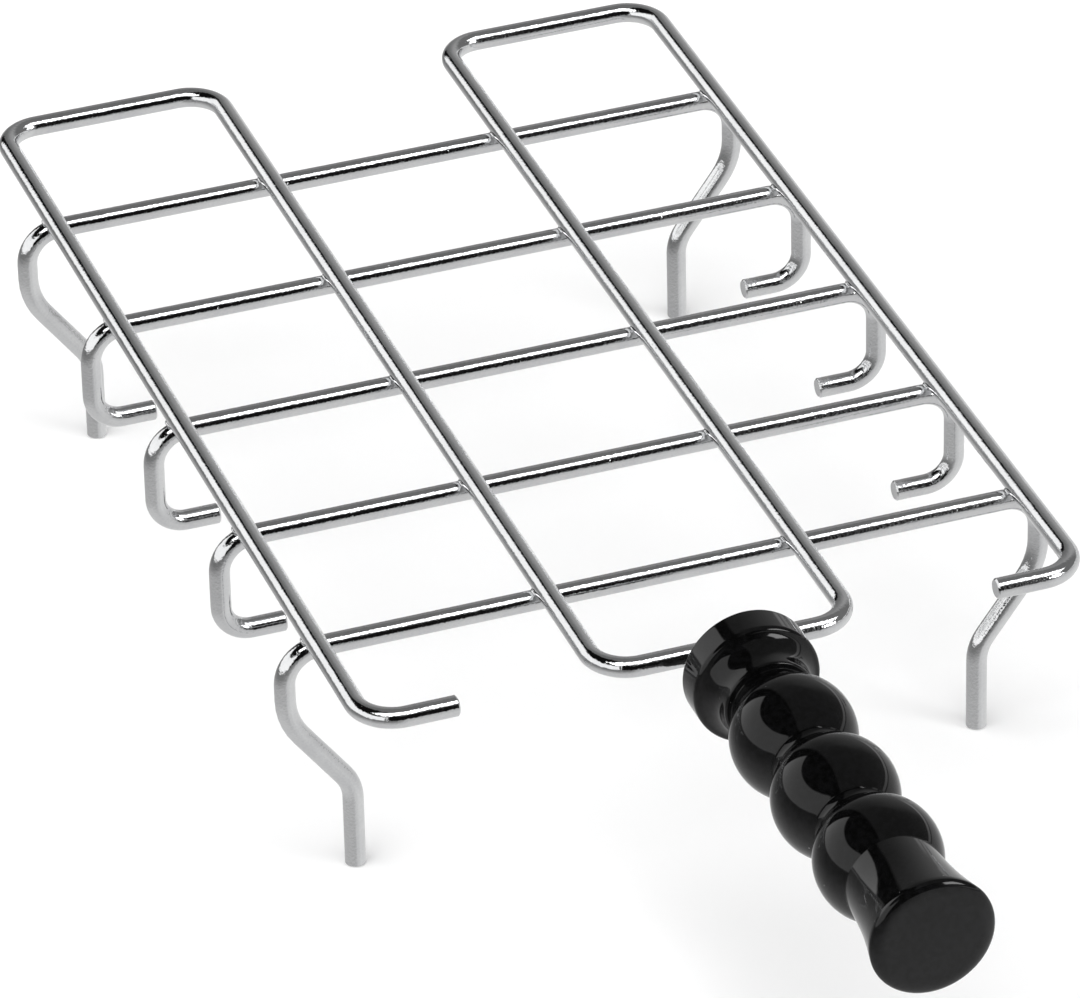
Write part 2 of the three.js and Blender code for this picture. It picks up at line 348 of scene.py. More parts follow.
# %% Hang the two lamps
SUN_STRENGTH = 3.1
SUN_SOFTNESS = math.radians(80)
SUN_PLACE = (-1.0, -1.2, 3.0)
SOFTBOX_RADIANCE = 3.4
SOFTBOX_PLACE = (0.4, -0.85, 2.0)
SOFTBOX_AIM = (0.4, -0.85, 0)
SOFTBOX_SIZE = (3.6, 1.15)


def add_lamp(name, kind, place, aim):
    lamp = bpy.data.objects.new(name, bpy.data.lights.new(name, kind))
    bpy.context.scene.collection.objects.link(lamp)
    lamp.location = place
    lamp.rotation_euler = (Vector(place) - Vector(aim)).to_track_quat("Z", "Y").to_euler()
    lamp.visible_camera = False
    return lamp


def make_softbox(place, aim, width, depth, radiance):
    box = add_lamp("long softbox", "AREA", place, aim)
    box.data.shape = "RECTANGLE"
    box.data.size = width
    box.data.size_y = depth
    box.data.energy = radiance * math.pi * width * depth
    return box


def light_only(lamp, pieces):
    """The lamp lights these pieces and nothing else."""
    lit = bpy.data.collections.new("lit by " + lamp.name)
    for piece in pieces:
        lit.objects.link(piece)
    lamp.light_linking.receiver_collection = lit


sun = add_lamp("floor sun", "SUN", SUN_PLACE, (0, 0, 0))
sun.data.energy = SUN_STRENGTH
sun.data.angle = SUN_SOFTNESS
light_only(sun, [floor])
softbox = make_softbox(SOFTBOX_PLACE, SOFTBOX_AIM, *SOFTBOX_SIZE, SOFTBOX_RADIANCE)
print(sun.name, "and", softbox.name, "of", round(softbox.data.energy), "W")

# %% [markdown]
# ## Bending wire
# The real wire is fed through a bender: so much straight, then a bend, then straight again. The
# same is done here. A disc is the cut face of the wire; extruding it feeds straight wire, and
# spinning it about the bend's centre makes a bend. A curve with a round bevel would be quicker,
# but it has no chamfered ends and its radius pinches in tight bends.

# %% Start a wire, feed it and bend it
WIRE_SIDES = 40
BEND_STEP = math.radians(7.5)
FEWEST_STEPS = 3
CUT_CHAMFER = 0.3 * MM


def start_wire(name, place, heading):
    """A small disc, grown at once to the wire's full radius, so that the cut end is chamfered."""
    deselect()
    facing = heading.to_track_quat("Z", "Y").to_euler()
    bpy.ops.mesh.primitive_circle_add(
        vertices=WIRE_SIDES, radius=wire_radius - CUT_CHAMFER, fill_type="NGON",
        location=place, rotation=facing,
    )
    wire = bpy.context.object
    wire.name = name
    bpy.ops.object.transform_apply(location=True, rotation=True, scale=True)
    bpy.ops.object.mode_set(mode="EDIT")
    bpy.ops.mesh.select_all(action="SELECT")
    feed(heading * CUT_CHAMFER)
    widen(wire_radius / (wire_radius - CUT_CHAMFER), place + heading * CUT_CHAMFER)
    return wire


def feed(move):
    bpy.ops.mesh.extrude_region_move(TRANSFORM_OT_translate={"value": move})


def widen(factor, centre):
    bpy.ops.transform.resize(value=(factor,) * 3, center_override=centre)


def bend(place, heading, towards, radius):
    """Bends the wire's open end from one heading to another. Returns where the end then is."""
    angle = heading.angle(towards)
    axis = heading.cross(towards).normalized()
    centre = place + axis.cross(heading) * radius
    steps = max(FEWEST_STEPS, math.ceil(angle / BEND_STEP))
    bpy.ops.mesh.spin(steps=steps, angle=-angle, center=centre, axis=axis)
    return centre + Matrix.Rotation(angle, 3, axis) @ (place - centre)


print("a right angle is bent in", math.ceil(math.pi / 2 / BEND_STEP), "steps")

# %% [markdown]
# ### From corners to a wire
# The bender is told the corners of the wire's centre line and works out the feeds and the bends
# from them: a bend starts before its corner by its radius times the tangent of half its angle.

# %% The whole wire
MERGE_DISTANCE = 1e-6


def bent_wire(name, corners):
    """Feeds and bends a wire along corners, a list of (point, bend radius)."""
    points = [Vector(point) for point, _ in corners]
    headings = [(b - a).normalized() for a, b in zip(points, points[1:])]
    wire = start_wire(name, points[0], headings[0])
    place = points[0] + headings[0] * CUT_CHAMFER
    for i, heading in enumerate(headings):
        last = i == len(headings) - 1
        if last:
            stop = points[-1] - heading * CUT_CHAMFER
        else:
            radius = corners[i + 1][1]
            angle = heading.angle(headings[i + 1])
            stop = points[i + 1] - heading * radius * math.tan(angle / 2)
        feed(stop - place)
        place = stop if last else bend(stop, heading, headings[i + 1], radius)
    feed(headings[-1] * CUT_CHAMFER)
    widen((wire_radius - CUT_CHAMFER) / wire_radius, points[-1])
    finish_mesh(wire)
    return wire


def finish_mesh(piece, smooth_below=40):
    """Merges doubles, points the faces out and smooths all but the sharp edges."""
    bpy.ops.mesh.select_all(action="SELECT")
    bpy.ops.mesh.remove_doubles(threshold=MERGE_DISTANCE)
    bpy.ops.mesh.normals_make_consistent(inside=False)
    bpy.ops.mesh.select_all(action="DESELECT")
    bpy.ops.object.mode_set(mode="OBJECT")
    bpy.ops.object.shade_smooth_by_angle(angle=math.radians(smooth_below))
    print(piece.name, len(piece.data.polygons), "faces")


print("points closer than", MERGE_DISTANCE / MM, "mm are merged")

# %% [markdown]
# ## The grid wire
# One wire makes all four rails. It starts with a short tail at the front left, runs to the back,
# crosses over, comes forward as an inner rail, crosses again in front where the handle is
# fixed, and repeats the same in mirror image.

# %% Bend the grid wire
def mirrored(half):
    """The corners of the left half, then the same mirrored to the right."""
    return half + [((-x, y, z), radius) for (x, y, z), radius in reversed(half)]


grid_wire = bent_wire("rail_wire", mirrored([
    ((-outer_x + TAIL_LENGTH, front_y, rail_z), 0),
    ((-outer_x, front_y, rail_z), CORNER_BEND),
    ((-outer_x, back_y, rail_z), CORNER_BEND),
    ((-INNER_X, back_y, rail_z), CORNER_BEND),
    ((-INNER_X, front_y, rail_z), CORNER_BEND),
]))

# %% [markdown]
# ## The cross wires
# All five are bent in an upright plane. The outer two run on into legs, which bulge outwards
# and then step in to the feet. The inner three curl under into open hooks.

# %% Bend the leg wires and the hook wires
LEG_SHOULDER_DROP = 15 * MM
LEG_SHOULDER_BEND = 14 * MM
LEG_KNEE_DROP = 31.9 * MM
LEG_KNEE_BEND = 9 * MM
LEG_INSET = 7.2 * MM
HOOK_BEND = 6 * MM
HOOK_INSET = 7.9 * MM


def leg_wire(node):
    low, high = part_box(node)
    y, z = cross_wire_place(node)
    bulge_x = high.x - wire_radius
    foot_x = outer_x - LEG_INSET
    return bent_wire("fine_" + node, mirrored([
        ((-foot_x, y, low.z), 0),
        ((-foot_x, y, z - LEG_KNEE_DROP), LEG_KNEE_BEND),
        ((-bulge_x, y, z - LEG_SHOULDER_DROP), LEG_SHOULDER_BEND),
        ((-bulge_x, y, z), TOP_BEND),
    ]))


def hook_wire(node):
    low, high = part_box(node)
    y, z = cross_wire_place(node)
    reach_x = high.x - wire_radius
    arm_z = low.z + wire_radius
    return bent_wire("fine_" + node, mirrored([
        ((-outer_x + HOOK_INSET, y, arm_z), 0),
        ((-reach_x, y, arm_z), HOOK_BEND),
        ((-reach_x, y, z), TOP_BEND),
    ]))


cross_wires = {node: leg_wire(node) for node in LEG_WIRES}
cross_wires |= {node: hook_wire(node) for node in HOOK_WIRES}

# %% [markdown]
# ## The handle
# The real handle is turned on a lathe and lacquered. It is made the same way here: half its
# outline is drawn by extruding a single point from station to station, and spinning the outline
# about the axis turns it into the solid. Subdividing a cylinder would also work, but an outline
# keeps the round beads exact. Round stretches are arcs, so their points come from a formula.

# %% Helpers for an outline
def arc(centre_radius, centre_y, radius, start, stop, pieces, along=None):
    """Points of an arc; its angles are in degrees from the axis that points to the back.
    along is the radius measured along the axis, where the arc is part of an ellipse."""
    angles = [math.radians(start + (stop - start) * i / pieces) for i in range(pieces + 1)]
    length = along or radius
    return [
        (centre_radius + radius * math.sin(a), centre_y + length * math.cos(a)) for a in angles
    ]


def curve_between(start, stop, hollow, pieces):
    """Points after start up to stop, on a line that is hollowed out in the middle."""
    (r0, y0), (r1, y1) = start, stop
    points = []
    for i in range(1, pieces + 1):
        part = i / pieces
        radius = r0 + (r1 - r0) * part - hollow * math.sin(math.pi * part)
        points.append((radius, y0 + (y1 - y0) * part))
    return points


print("a quarter arc in 5 pieces has", len(arc(0, 0, MM, 0, 90, 5)), "points")

# %% [markdown]
# ### Stations of the handle
# From the rack outwards: a drum collar, a cove down to the neck, three round beads with narrow
# grooves between them, and a flare that the last bead runs into with a soft valley. The flare
# ends in a slightly domed face with a well rounded rim.

# %% Sizes of the handle
grip_low, grip_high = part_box("handle_grip")
handle_z = (grip_low.z + grip_high.z) / 2
collar_y = grip_high.y
end_y = grip_low.y
collar_radius = (grip_high.x - grip_low.x) / 2
COLLAR_LENGTH = 6.8 * MM
COLLAR_EDGE = 0.5 * MM
SHOULDER_EDGE = 0.9 * MM
SHOULDER_LENGTH = 6.4 * MM
COVE_POWER = 3.6        # 1 is a straight cone, more is a deeper cove against the collar
NECK_RADIUS = 8.8 * MM
NECK_EDGE = 0.45 * MM
GROOVE_RADIUS = 7.5 * MM
GROOVE_WIDTH = 2.4 * MM
GROOVE_ROUND = 0.35 * MM
BEAD_RADIUS = 11.8 * MM
BEAD_COUNT = 3
FLARE_NECK_RADIUS = 9.3 * MM
FLARE_HOLLOW = 0.5 * MM
END_RADIUS = 11.8 * MM
END_EDGE = 1.6 * MM
END_EDGE_DEPTH = 3.0 * MM
END_DOME = 0.25 * MM
RECESS_RADIUS = 5.05 * MM
RECESS_DEPTH = 1.6 * MM
BORE_RADIUS = 4.3 * MM
BORE_DEPTH = 13.6 * MM
DRILL_POINT = 1.5 * MM
FLAT_MARGIN = 0.2 * MM      # a station this close to a rounded edge keeps the next face flat
print("handle", round(2 * collar_radius / MM, 1), "mm thick,", BEAD_COUNT, "beads")

# %% [markdown]
# ### The outline, station by station
# Each station is a radius and a place along the axis. The list starts in the middle of the end
# face, goes along the outside to the collar, and comes back inside to the bottom of the bore.

# %% Outline of the handle
DOME_PARTS = (0.25, 0.5, 0.75)
RIM_PIECES = 14
FLARE_PIECES = 16
BEAD_PIECES = 30
EDGE_PIECES = 5
SHOULDER_PIECES = 6
COVE_PIECES = 14
CORNER_OUT, CORNER_ALONG = 0.3, 0.35      # where a groove's hollow corner has its middle point


def groove_floor(y):
    """A groove's floor from its front to its back end at y, with hollow corners."""
    front, radius, turn = y - GROOVE_WIDTH, GROOVE_RADIUS, GROOVE_ROUND
    return [
        (radius + turn, front), (radius + CORNER_OUT * turn, front + CORNER_ALONG * turn),
        (radius, front + turn), (radius, y - turn),
        (radius + CORNER_OUT * turn, y - CORNER_ALONG * turn), (radius + turn, y),
    ]


def cove(neck_y, shoulder_y):
    """From the neck out to the collar, ever more steeply."""
    start = neck_y + NECK_EDGE
    points = []
    for i in range(1, COVE_PIECES + 1):
        part = i / COVE_PIECES
        rise = (collar_radius - SHOULDER_EDGE - NECK_RADIUS) * part**COVE_POWER
        points.append((NECK_RADIUS + rise, start + (shoulder_y - neck_y - NECK_EDGE) * part))
    return points


def collar_and_bore(shoulder_y):
    """The collar's two rounded edges, its back face and the stepped bore for the insert."""
    edge_radius = collar_radius - SHOULDER_EDGE
    edge_y = shoulder_y + SHOULDER_EDGE
    points = arc(edge_radius, edge_y, SHOULDER_EDGE, 180, 90, SHOULDER_PIECES)[1:]
    points.append((collar_radius, edge_y + FLAT_MARGIN))
    edge_radius, edge_y = collar_radius - COLLAR_EDGE, collar_y - COLLAR_EDGE
    points.append((collar_radius, edge_y - FLAT_MARGIN))
    points += arc(edge_radius, edge_y, COLLAR_EDGE, 90, 0, EDGE_PIECES)
    points.append((edge_radius - FLAT_MARGIN, collar_y))
    points += [(RECESS_RADIUS, collar_y), (RECESS_RADIUS, collar_y - RECESS_DEPTH)]
    points += [(BORE_RADIUS, collar_y - RECESS_DEPTH), (BORE_RADIUS, collar_y - BORE_DEPTH)]
    return points + [(0, collar_y - BORE_DEPTH - DRILL_POINT)]


def handle_outline():
    bead_half = math.sqrt(BEAD_RADIUS**2 - GROOVE_RADIUS**2)
    bead_edge = math.degrees(math.asin((GROOVE_RADIUS + GROOVE_ROUND) / BEAD_RADIUS))
    flare_edge = math.degrees(math.asin(FLARE_NECK_RADIUS / BEAD_RADIUS))
    bead_pitch = 2 * bead_half + GROOVE_WIDTH
    shoulder_y = collar_y - COLLAR_LENGTH
    neck_y = shoulder_y - SHOULDER_LENGTH
    first_bead_y = neck_y - GROOVE_WIDTH - bead_half
    last_bead_y = first_bead_y - (BEAD_COUNT - 1) * bead_pitch
    flare_y = last_bead_y - BEAD_RADIUS * math.cos(math.radians(flare_edge))
    rim_y = end_y + END_EDGE
    face_radius = END_RADIUS - END_EDGE_DEPTH
    outline = [(0, end_y)]
    for part in DOME_PARTS:
        outline.append((face_radius * part, end_y + END_DOME * part**2))
    edge_length = END_EDGE - END_DOME
    outline += arc(face_radius, rim_y, END_EDGE_DEPTH, 180, 90, RIM_PIECES, edge_length)
    neck = (FLARE_NECK_RADIUS, flare_y)
    outline += curve_between((END_RADIUS, rim_y), neck, FLARE_HOLLOW, FLARE_PIECES)
    for bead in reversed(range(BEAD_COUNT)):
        bead_y = first_bead_y - bead * bead_pitch
        first_angle = 180 - (flare_edge if bead == BEAD_COUNT - 1 else bead_edge)
        points = arc(0, bead_y, BEAD_RADIUS, first_angle, bead_edge, BEAD_PIECES)
        outline += points[1:] if bead == BEAD_COUNT - 1 else points
        outline += groove_floor(bead_y + bead_half + GROOVE_WIDTH)[1:]
    edge_radius, edge_y = NECK_RADIUS - NECK_EDGE, neck_y + NECK_EDGE
    outline += arc(edge_radius, edge_y, NECK_EDGE, 180, 90, EDGE_PIECES)
    return outline + cove(neck_y, shoulder_y) + collar_and_bore(shoulder_y)


handle_stations = handle_outline()
print(len(handle_stations), "stations along", round((collar_y - end_y) / MM, 1), "mm")

# %% [markdown]
# ### The lathe
# A plane merged to its centre is a single point. Each extrusion of the point draws one edge of
# the outline, and one full spin about the axis makes the faces. Merging doubles then closes the
# seam and the poles, and recalculating the normals turns every face outwards.

# %% Turn the handle
HANDLE_SIDES = 120


def turned(name, outline, sides, smooth_below=30):
    """Draws the outline by extruding one point, then spins it about the handle's axis."""
    deselect()
    first_radius, first_y = outline[0]
    bpy.ops.mesh.primitive_plane_add(size=MM, location=(first_radius, first_y, handle_z))
    piece = bpy.context.object
    piece.name = name
    bpy.ops.object.transform_apply(location=True, rotation=True, scale=True)
    bpy.ops.object.mode_set(mode="EDIT")
    bpy.ops.mesh.select_mode(type="VERT")
    bpy.ops.mesh.select_all(action="SELECT")
    bpy.ops.mesh.merge(type="CENTER")
    for (r0, y0), (r1, y1) in zip(outline, outline[1:]):
        feed((r1 - r0, y1 - y0, 0))
    bpy.ops.mesh.select_all(action="SELECT")
    bpy.ops.mesh.spin(
        steps=sides, angle=2 * math.pi, center=(0, first_y, handle_z), axis=(0, 1, 0),
    )
    finish_mesh(piece, smooth_below)
    return piece


handle = turned("turned_handle", handle_stations, HANDLE_SIDES)

# %% [markdown]
# ## The screw fixing
# The handle has to come off and go on, so a threaded stud is welded to the front crossbar, and
# the handle holds a threaded brass insert. A nut and a washer lock it, so that it can't turn
# loose. Most of this is hidden, but a learner who takes the handle off should find it there.

# %% Turn the washer and the insert
WASHER_CHAMFER = 0.15 * MM
INSERT_FLANGE = 1 * MM
INSERT_CHAMFER = 0.5 * MM
KNURL_DEPTH = 0.2 * MM
KNURL_SIDES = 48
KNURL_BANDS = 3
BAND_END, WAIST_START, WAIST_END = 0.75, 0.82, 0.93     # in parts of a band's length
WASHER_SIDES = 64
CLEARANCE_RADIUS = 2.8 * MM
INSERT_RADIUS = 4 * MM


def ring_outline(node, hole_radius, chamfer):
    """A flat ring as large as the node's box, with chamfered outer edges."""
    low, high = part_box(node)
    rim = (high.z - low.z) / 2
    return [
        (hole_radius, low.y), (rim - chamfer, low.y), (rim, low.y + chamfer),
        (rim, high.y - chamfer), (rim - chamfer, high.y), (hole_radius, high.y),
        (hole_radius, low.y),
    ]


def insert_outline():
    """A sleeve with a flange at the back, bands for the knurl and a chamfered front."""
    low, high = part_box("threaded_insert")
    rim = (high.z - low.z) / 2
    body_end = high.y - INSERT_FLANGE
    band = (body_end - low.y - INSERT_CHAMFER) / KNURL_BANDS
    waist = INSERT_RADIUS - 2 * KNURL_DEPTH
    outline = [(CLEARANCE_RADIUS, low.y), (INSERT_RADIUS - INSERT_CHAMFER, low.y)]
    for i in range(KNURL_BANDS):
        start = low.y + INSERT_CHAMFER + i * band
        outline += [(INSERT_RADIUS, start), (INSERT_RADIUS, start + BAND_END * band)]
        outline += [(waist, start + WAIST_START * band), (waist, start + WAIST_END * band)]
    outline += [(waist, body_end), (rim, body_end), (rim, high.y), (CLEARANCE_RADIUS, high.y)]
    outline.append((CLEARANCE_RADIUS, low.y))
    return outline


washer_outline = ring_outline("washer", CLEARANCE_RADIUS, WASHER_CHAMFER)
washer = turned("thin_washer", washer_outline, WASHER_SIDES)
insert = turned("brass_insert", insert_outline(), KNURL_SIDES)

# %% [markdown]
# ### The knurl
# A knurl is rolled into the insert so that the wood or plastic round it grips. Every second
# lengthwise strip of the three bands is inset and pushed in a little.

# %% Roll the knurl
ON_THE_RIM = 0.1 * MM       # how far from the rim a face's middle may lie
GROOVE_MARGIN = 0.04 * MM


def select_faces(piece, wanted):
    """Goes to edit mode with exactly the faces selected that wanted(face) picks."""
    deselect()
    bpy.context.view_layer.objects.active = piece
    piece.select_set(True)
    bpy.ops.object.mode_set(mode="EDIT")
    bpy.ops.mesh.select_mode(type="FACE")
    bpy.ops.mesh.select_all(action="DESELECT")
    mesh = bmesh.from_edit_mesh(piece.data)
    picked = 0
    for face in mesh.faces:
        face.select = bool(wanted(face))
        picked += face.select
    bmesh.update_edit_mesh(piece.data)
    return picked


def on_every_second_strip(face):
    place = face.calc_center_median()
    turn = math.atan2(place.z - handle_z, place.x) / (2 * math.pi) * KNURL_SIDES
    radius = math.hypot(place.x, place.z - handle_z)
    faces_out = abs(face.normal.y) < 0.1
    on_the_rim = abs(radius - INSERT_RADIUS) < ON_THE_RIM
    return faces_out and on_the_rim and math.floor(turn) % 2 == 0


print(select_faces(insert, on_every_second_strip), "knurl grooves")
bpy.ops.mesh.inset(thickness=GROOVE_MARGIN, depth=-KNURL_DEPTH, use_individual=True)
bpy.ops.mesh.select_mode(type="VERT")     # the lathe draws with points, so points stay on
bpy.ops.object.mode_set(mode="OBJECT")

# %% [markdown]
# ### The lock nut
# A hexagon nut starts as a turned blank whose corners slope at 30 degrees, and six flats are
# milled on it. Here the blank comes off the same lathe, and every vertex that stands outside a
# flat is moved in to it. The curved edge between slope and flat then comes out by itself.

# %% Turn the nut and mill its flats
NUT_BLANK_SIDES = 72
SLOPE_STATIONS = 5


def nut_blank_outline():
    low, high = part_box("lock_nut")
    flat, corner = (high.x - low.x) / 2, (high.z - low.z) / 2
    slope = (corner - flat) / 2
    front, back_end = [], []
    for i in range(SLOPE_STATIONS + 1):
        part = i / SLOPE_STATIONS
        front.append((flat + (corner - flat) * part, low.y + slope * part))
        back_end.append((flat + (corner - flat) * part, high.y - slope * part))
    outline = [(CLEARANCE_RADIUS, low.y)] + front + back_end[::-1]
    return outline + [(CLEARANCE_RADIUS, high.y), (CLEARANCE_RADIUS, low.y)], flat


def mill_flats(piece, flat):
    """Pulls in every vertex that is outside the hexagon with corners up and down."""
    sixth = math.pi / 3
    moved = 0
    for vertex in piece.data.vertices:
        x, z = vertex.co.x, vertex.co.z - handle_z
        turn, radius = math.atan2(z, x), math.hypot(x, z)
        off_flat = (turn + sixth / 2) % sixth - sixth / 2
        reach = flat / math.cos(off_flat)
        if radius > reach:
            vertex.co.x, vertex.co.z = reach * math.cos(turn), handle_z + reach * math.sin(turn)
            moved += 1
    print(moved, "vertices milled")


nut_outline, nut_flat = nut_blank_outline()
nut = turned("hexagon_nut", nut_outline, NUT_BLANK_SIDES)
mill_flats(nut, nut_flat)

# %% [markdown]
# ### The stud
# The stud's thread is rolled, which leaves rounded crests. A plain stud is turned with many
# stations, then each vertex is moved in towards the axis by a depth that depends on how far it
# is along the helix. The Screw modifier could sweep a thread too, but leaves its ends open.

# %% Turn the stud and cut its thread
THREAD_PITCH = 0.8 * MM
THREAD_DEPTH = 0.42 * MM
THREAD_RUNOUT = 1.0 * MM
STATIONS_PER_PITCH = 8
STUD_CHAMFER = 0.6 * MM
STUD_SIDES = 40


def stud_outline():
    low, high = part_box("handle_stud")
    radius = (high.z - low.z) / 2
    stations = round((high.y - low.y - STUD_CHAMFER) / THREAD_PITCH * STATIONS_PER_PITCH)
    start = low.y + STUD_CHAMFER
    outline = [(0, low.y), (radius - STUD_CHAMFER, low.y)]
    for i in range(stations + 1):
        outline.append((radius, start + (high.y - start) * i / stations))
    return outline + [(0, high.y)]


def cut_thread(piece, low_y, high_y):
    for vertex in piece.data.vertices:
        x, y, z = vertex.co.x, vertex.co.y, vertex.co.z - handle_z
        radius = math.hypot(x, z)
        fade = min(1, max(0, y - low_y) / THREAD_RUNOUT, max(0, high_y - y) / THREAD_RUNOUT)
        along = y / THREAD_PITCH - math.atan2(z, x) / (2 * math.pi)
        depth = THREAD_DEPTH * fade * (0.5 - 0.5 * math.cos(2 * math.pi * along))
        if radius > THREAD_DEPTH:
            kept = 1 - depth / radius
            vertex.co.x, vertex.co.z = x * kept, handle_z + z * kept


stud = turned("threaded_stud", stud_outline(), STUD_SIDES, smooth_below=45)
stud_low, stud_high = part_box("handle_stud")
cut_thread(stud, stud_low.y, stud_high.y)
print("thread of", round((stud_high.y - stud_low.y) / THREAD_PITCH), "turns")

# %% [markdown]
# ## The welds
# Rails and cross wires are resistance welded: a current melts them together where they touch,
# and a little metal is squeezed out into a flat nugget. One nugget is extruded in three steps
# that spread and close it, roughened a little, and rounded with a subdivision.

# %% Squeeze out one weld nugget
NUGGET_RADIUS = 1.2 * MM
NUGGET_SPREAD = 1.5
NUGGET_STEPS = ((0.3, NUGGET_SPREAD), (0.4, 1.0), (0.3, 1 / NUGGET_SPREAD))
NUGGET_THICKNESS = 0.9 * MM
NUGGET_WOBBLE = 0.08 * MM
NUGGET_SIDES = 14
WELD_SEED = 11


def weld_nugget():
    """A flat lump of weld metal at the origin."""
    deselect()
    bpy.ops.mesh.primitive_circle_add(
        vertices=NUGGET_SIDES, radius=NUGGET_RADIUS, fill_type="NGON",
        location=(0, 0, -NUGGET_THICKNESS / 2),
    )
    nugget = bpy.context.object
    nugget.name = "weld_nugget"
    bpy.ops.object.transform_apply(location=True, rotation=True, scale=True)
    bpy.ops.object.mode_set(mode="EDIT")
    bpy.ops.mesh.select_all(action="SELECT")
    for step, factor in NUGGET_STEPS:
        feed((0, 0, step * NUGGET_THICKNESS))
        bpy.ops.transform.resize(value=(factor, factor, 1), center_override=(0, 0, 0))
    bpy.ops.mesh.select_all(action="SELECT")
    bpy.ops.transform.vertex_random(offset=NUGGET_WOBBLE, seed=WELD_SEED)
    finish_mesh(nugget, smooth_below=180)
    smoother = nugget.modifiers.new("smoother", "SUBSURF")
    smoother.levels = smoother.render_levels = 1
    bpy.ops.object.modifier_apply(modifier=smoother.name)
    return nugget


first_nugget = weld_nugget()

# %% [markdown]
# ### Twenty welds
# The nugget is copied to each crossing of a rail and a cross wire. Every copy gets its own mesh,
# its own turn and a slightly different size, and then the copies are joined into one piece. The
# random numbers are seeded, so that the welds come out the same each time.

# %% Copy it to every crossing
WELD_WIDTHS = (0.9, 1.1)
WELD_HEIGHTS = (0.85, 1.1)


def place_welds(nugget):
    chance = random.Random(WELD_SEED)
    copies = []
    for node in (*LEG_WIRES, *HOOK_WIRES):
        y, cross_z = cross_wire_place(node)
        for x in (-outer_x, -INNER_X, INNER_X, outer_x):
            deselect()
            copy = nugget.copy()
            copy.data = nugget.data.copy()
            bpy.context.scene.collection.objects.link(copy)
            copy.location = (x, y, (cross_z + rail_z) / 2)
            copy.rotation_euler.z = chance.uniform(0, 2 * math.pi)
            width = chance.uniform(*WELD_WIDTHS)
            copy.scale = (width, width, chance.uniform(*WELD_HEIGHTS))
            bpy.context.view_layer.objects.active = copy
            copy.select_set(True)
            bpy.ops.object.transform_apply(location=True, rotation=True, scale=True)
            copies.append(copy)
    bpy.data.objects.remove(nugget)
    deselect()
    for copy in copies:
        copy.select_set(True)
    bpy.context.view_layer.objects.active = copies[0]
    bpy.ops.object.join()
    welds = bpy.context.object
    welds.name = "crossing_welds"
    print(len(copies), "welds,", len(welds.data.polygons), "faces")
    return welds


welds = place_welds(first_nugget)

# %% [markdown]
# ### The stud's weld
# A ring of weld metal holds the stud to the front crossbar. It is wide at the bar and runs out
# thin along the stud. It is turned like the other round pieces, and its inside is solid.

# %% Weld the stud to the crossbar
WELD_REACH = 0.9 * MM
WELD_TAPER = 0.45           # this and the next three are in parts of the reach
WELD_BURIED = 0.5
WELD_FOOT = (0.15, -0.1)
WELD_MIDDLE = (0.45, 0.15)
THIN_END = 0.9              # in parts of the stud's radius
WELD_SIDES = 40


def stud_weld_outline():
    """A ring that is wide at the crossbar and narrow at the stud, closed on the axis."""
    bar_y = front_y - wire_radius
    radius = (stud_high.z - stud_low.z) / 2
    thin_end = stud_high.y - WELD_TAPER * WELD_REACH
    buried_end = bar_y + WELD_BURIED * WELD_REACH
    outline = [(0, thin_end), (radius * THIN_END, thin_end)]
    for out, along in (WELD_FOOT, WELD_MIDDLE):
        outline.append((radius + out * WELD_REACH, stud_high.y + along * WELD_REACH))
    return outline + [(radius + WELD_REACH, buried_end), (0, buried_end)]


stud_weld = turned("stud_weld", stud_weld_outline(), WELD_SIDES, smooth_below=60)

# %% [markdown]
# ## Chrome
# Bright chrome is nearly a mirror. On a bent and welded wire it is never a perfect one: the
# plating follows the fine grain that drawing left in the steel, has shallow pits, and is duller
# by a shade from place to place. A noise gives each of these at its own scale, and together
# they make the edges of the reflections slightly ragged, which is what says metal.

# %% Patterns that the finishes share
def noise(place, size, detail=2.0):
    """A cloudy pattern whose lumps are about this size."""
    return place.node("ShaderNodeTexNoise", Vector=place, Scale=1 / size, Detail=detail)


def spots(place, size, low, high):
    """Scattered round spots: 1 in the middle of each cell and 0 away from it."""
    cells = place.node("ShaderNodeTexVoronoi", Vector=place, Scale=1 / size)
    return cells.fall(low, high)


def own_place(tree):
    """The place on the piece in its own coordinates, in metres."""
    return add_node(tree, "ShaderNodeTexCoord", out=3)


def plug_in(tree, shader, **fields):
    for name, field in fields.items():
        tree.links.new(field.socket, shader.inputs[name.replace("_", " ")])


def bumped(height, distance, strength=1.0):
    """The normal of a surface with this relief, whose full height is distance."""
    return height.node("ShaderNodeBump", Height=height, Distance=distance, Strength=strength)


print("patterns: noise and spots, on a piece's own place")

# %% [markdown]
# ### The plate
# The plate's grey moves between two close shades, with the cloud giving most of it and the grain
# the rest. The same cloud, grain and pits make the roughness, and grain and pits the relief.

# %% Chrome plate
CHROME_DARK = (0.645, 0.65, 0.66, 1)
CHROME_LIGHT = (0.71, 0.715, 0.72, 1)
NOISE_SPAN = (0.35, 0.65)   # a noise seldom leaves these values
CLOUD_SIZE = 9 * MM
GRAIN_SIZE = 0.55 * MM
GRAIN_HEIGHT = 0.05 * MM
PIT_SPACING = 1.6 * MM
PIT_PATCH = 5 * MM          # pits come in patches of this size
CHROME_ROUGHNESS = (0.035, 0.06)


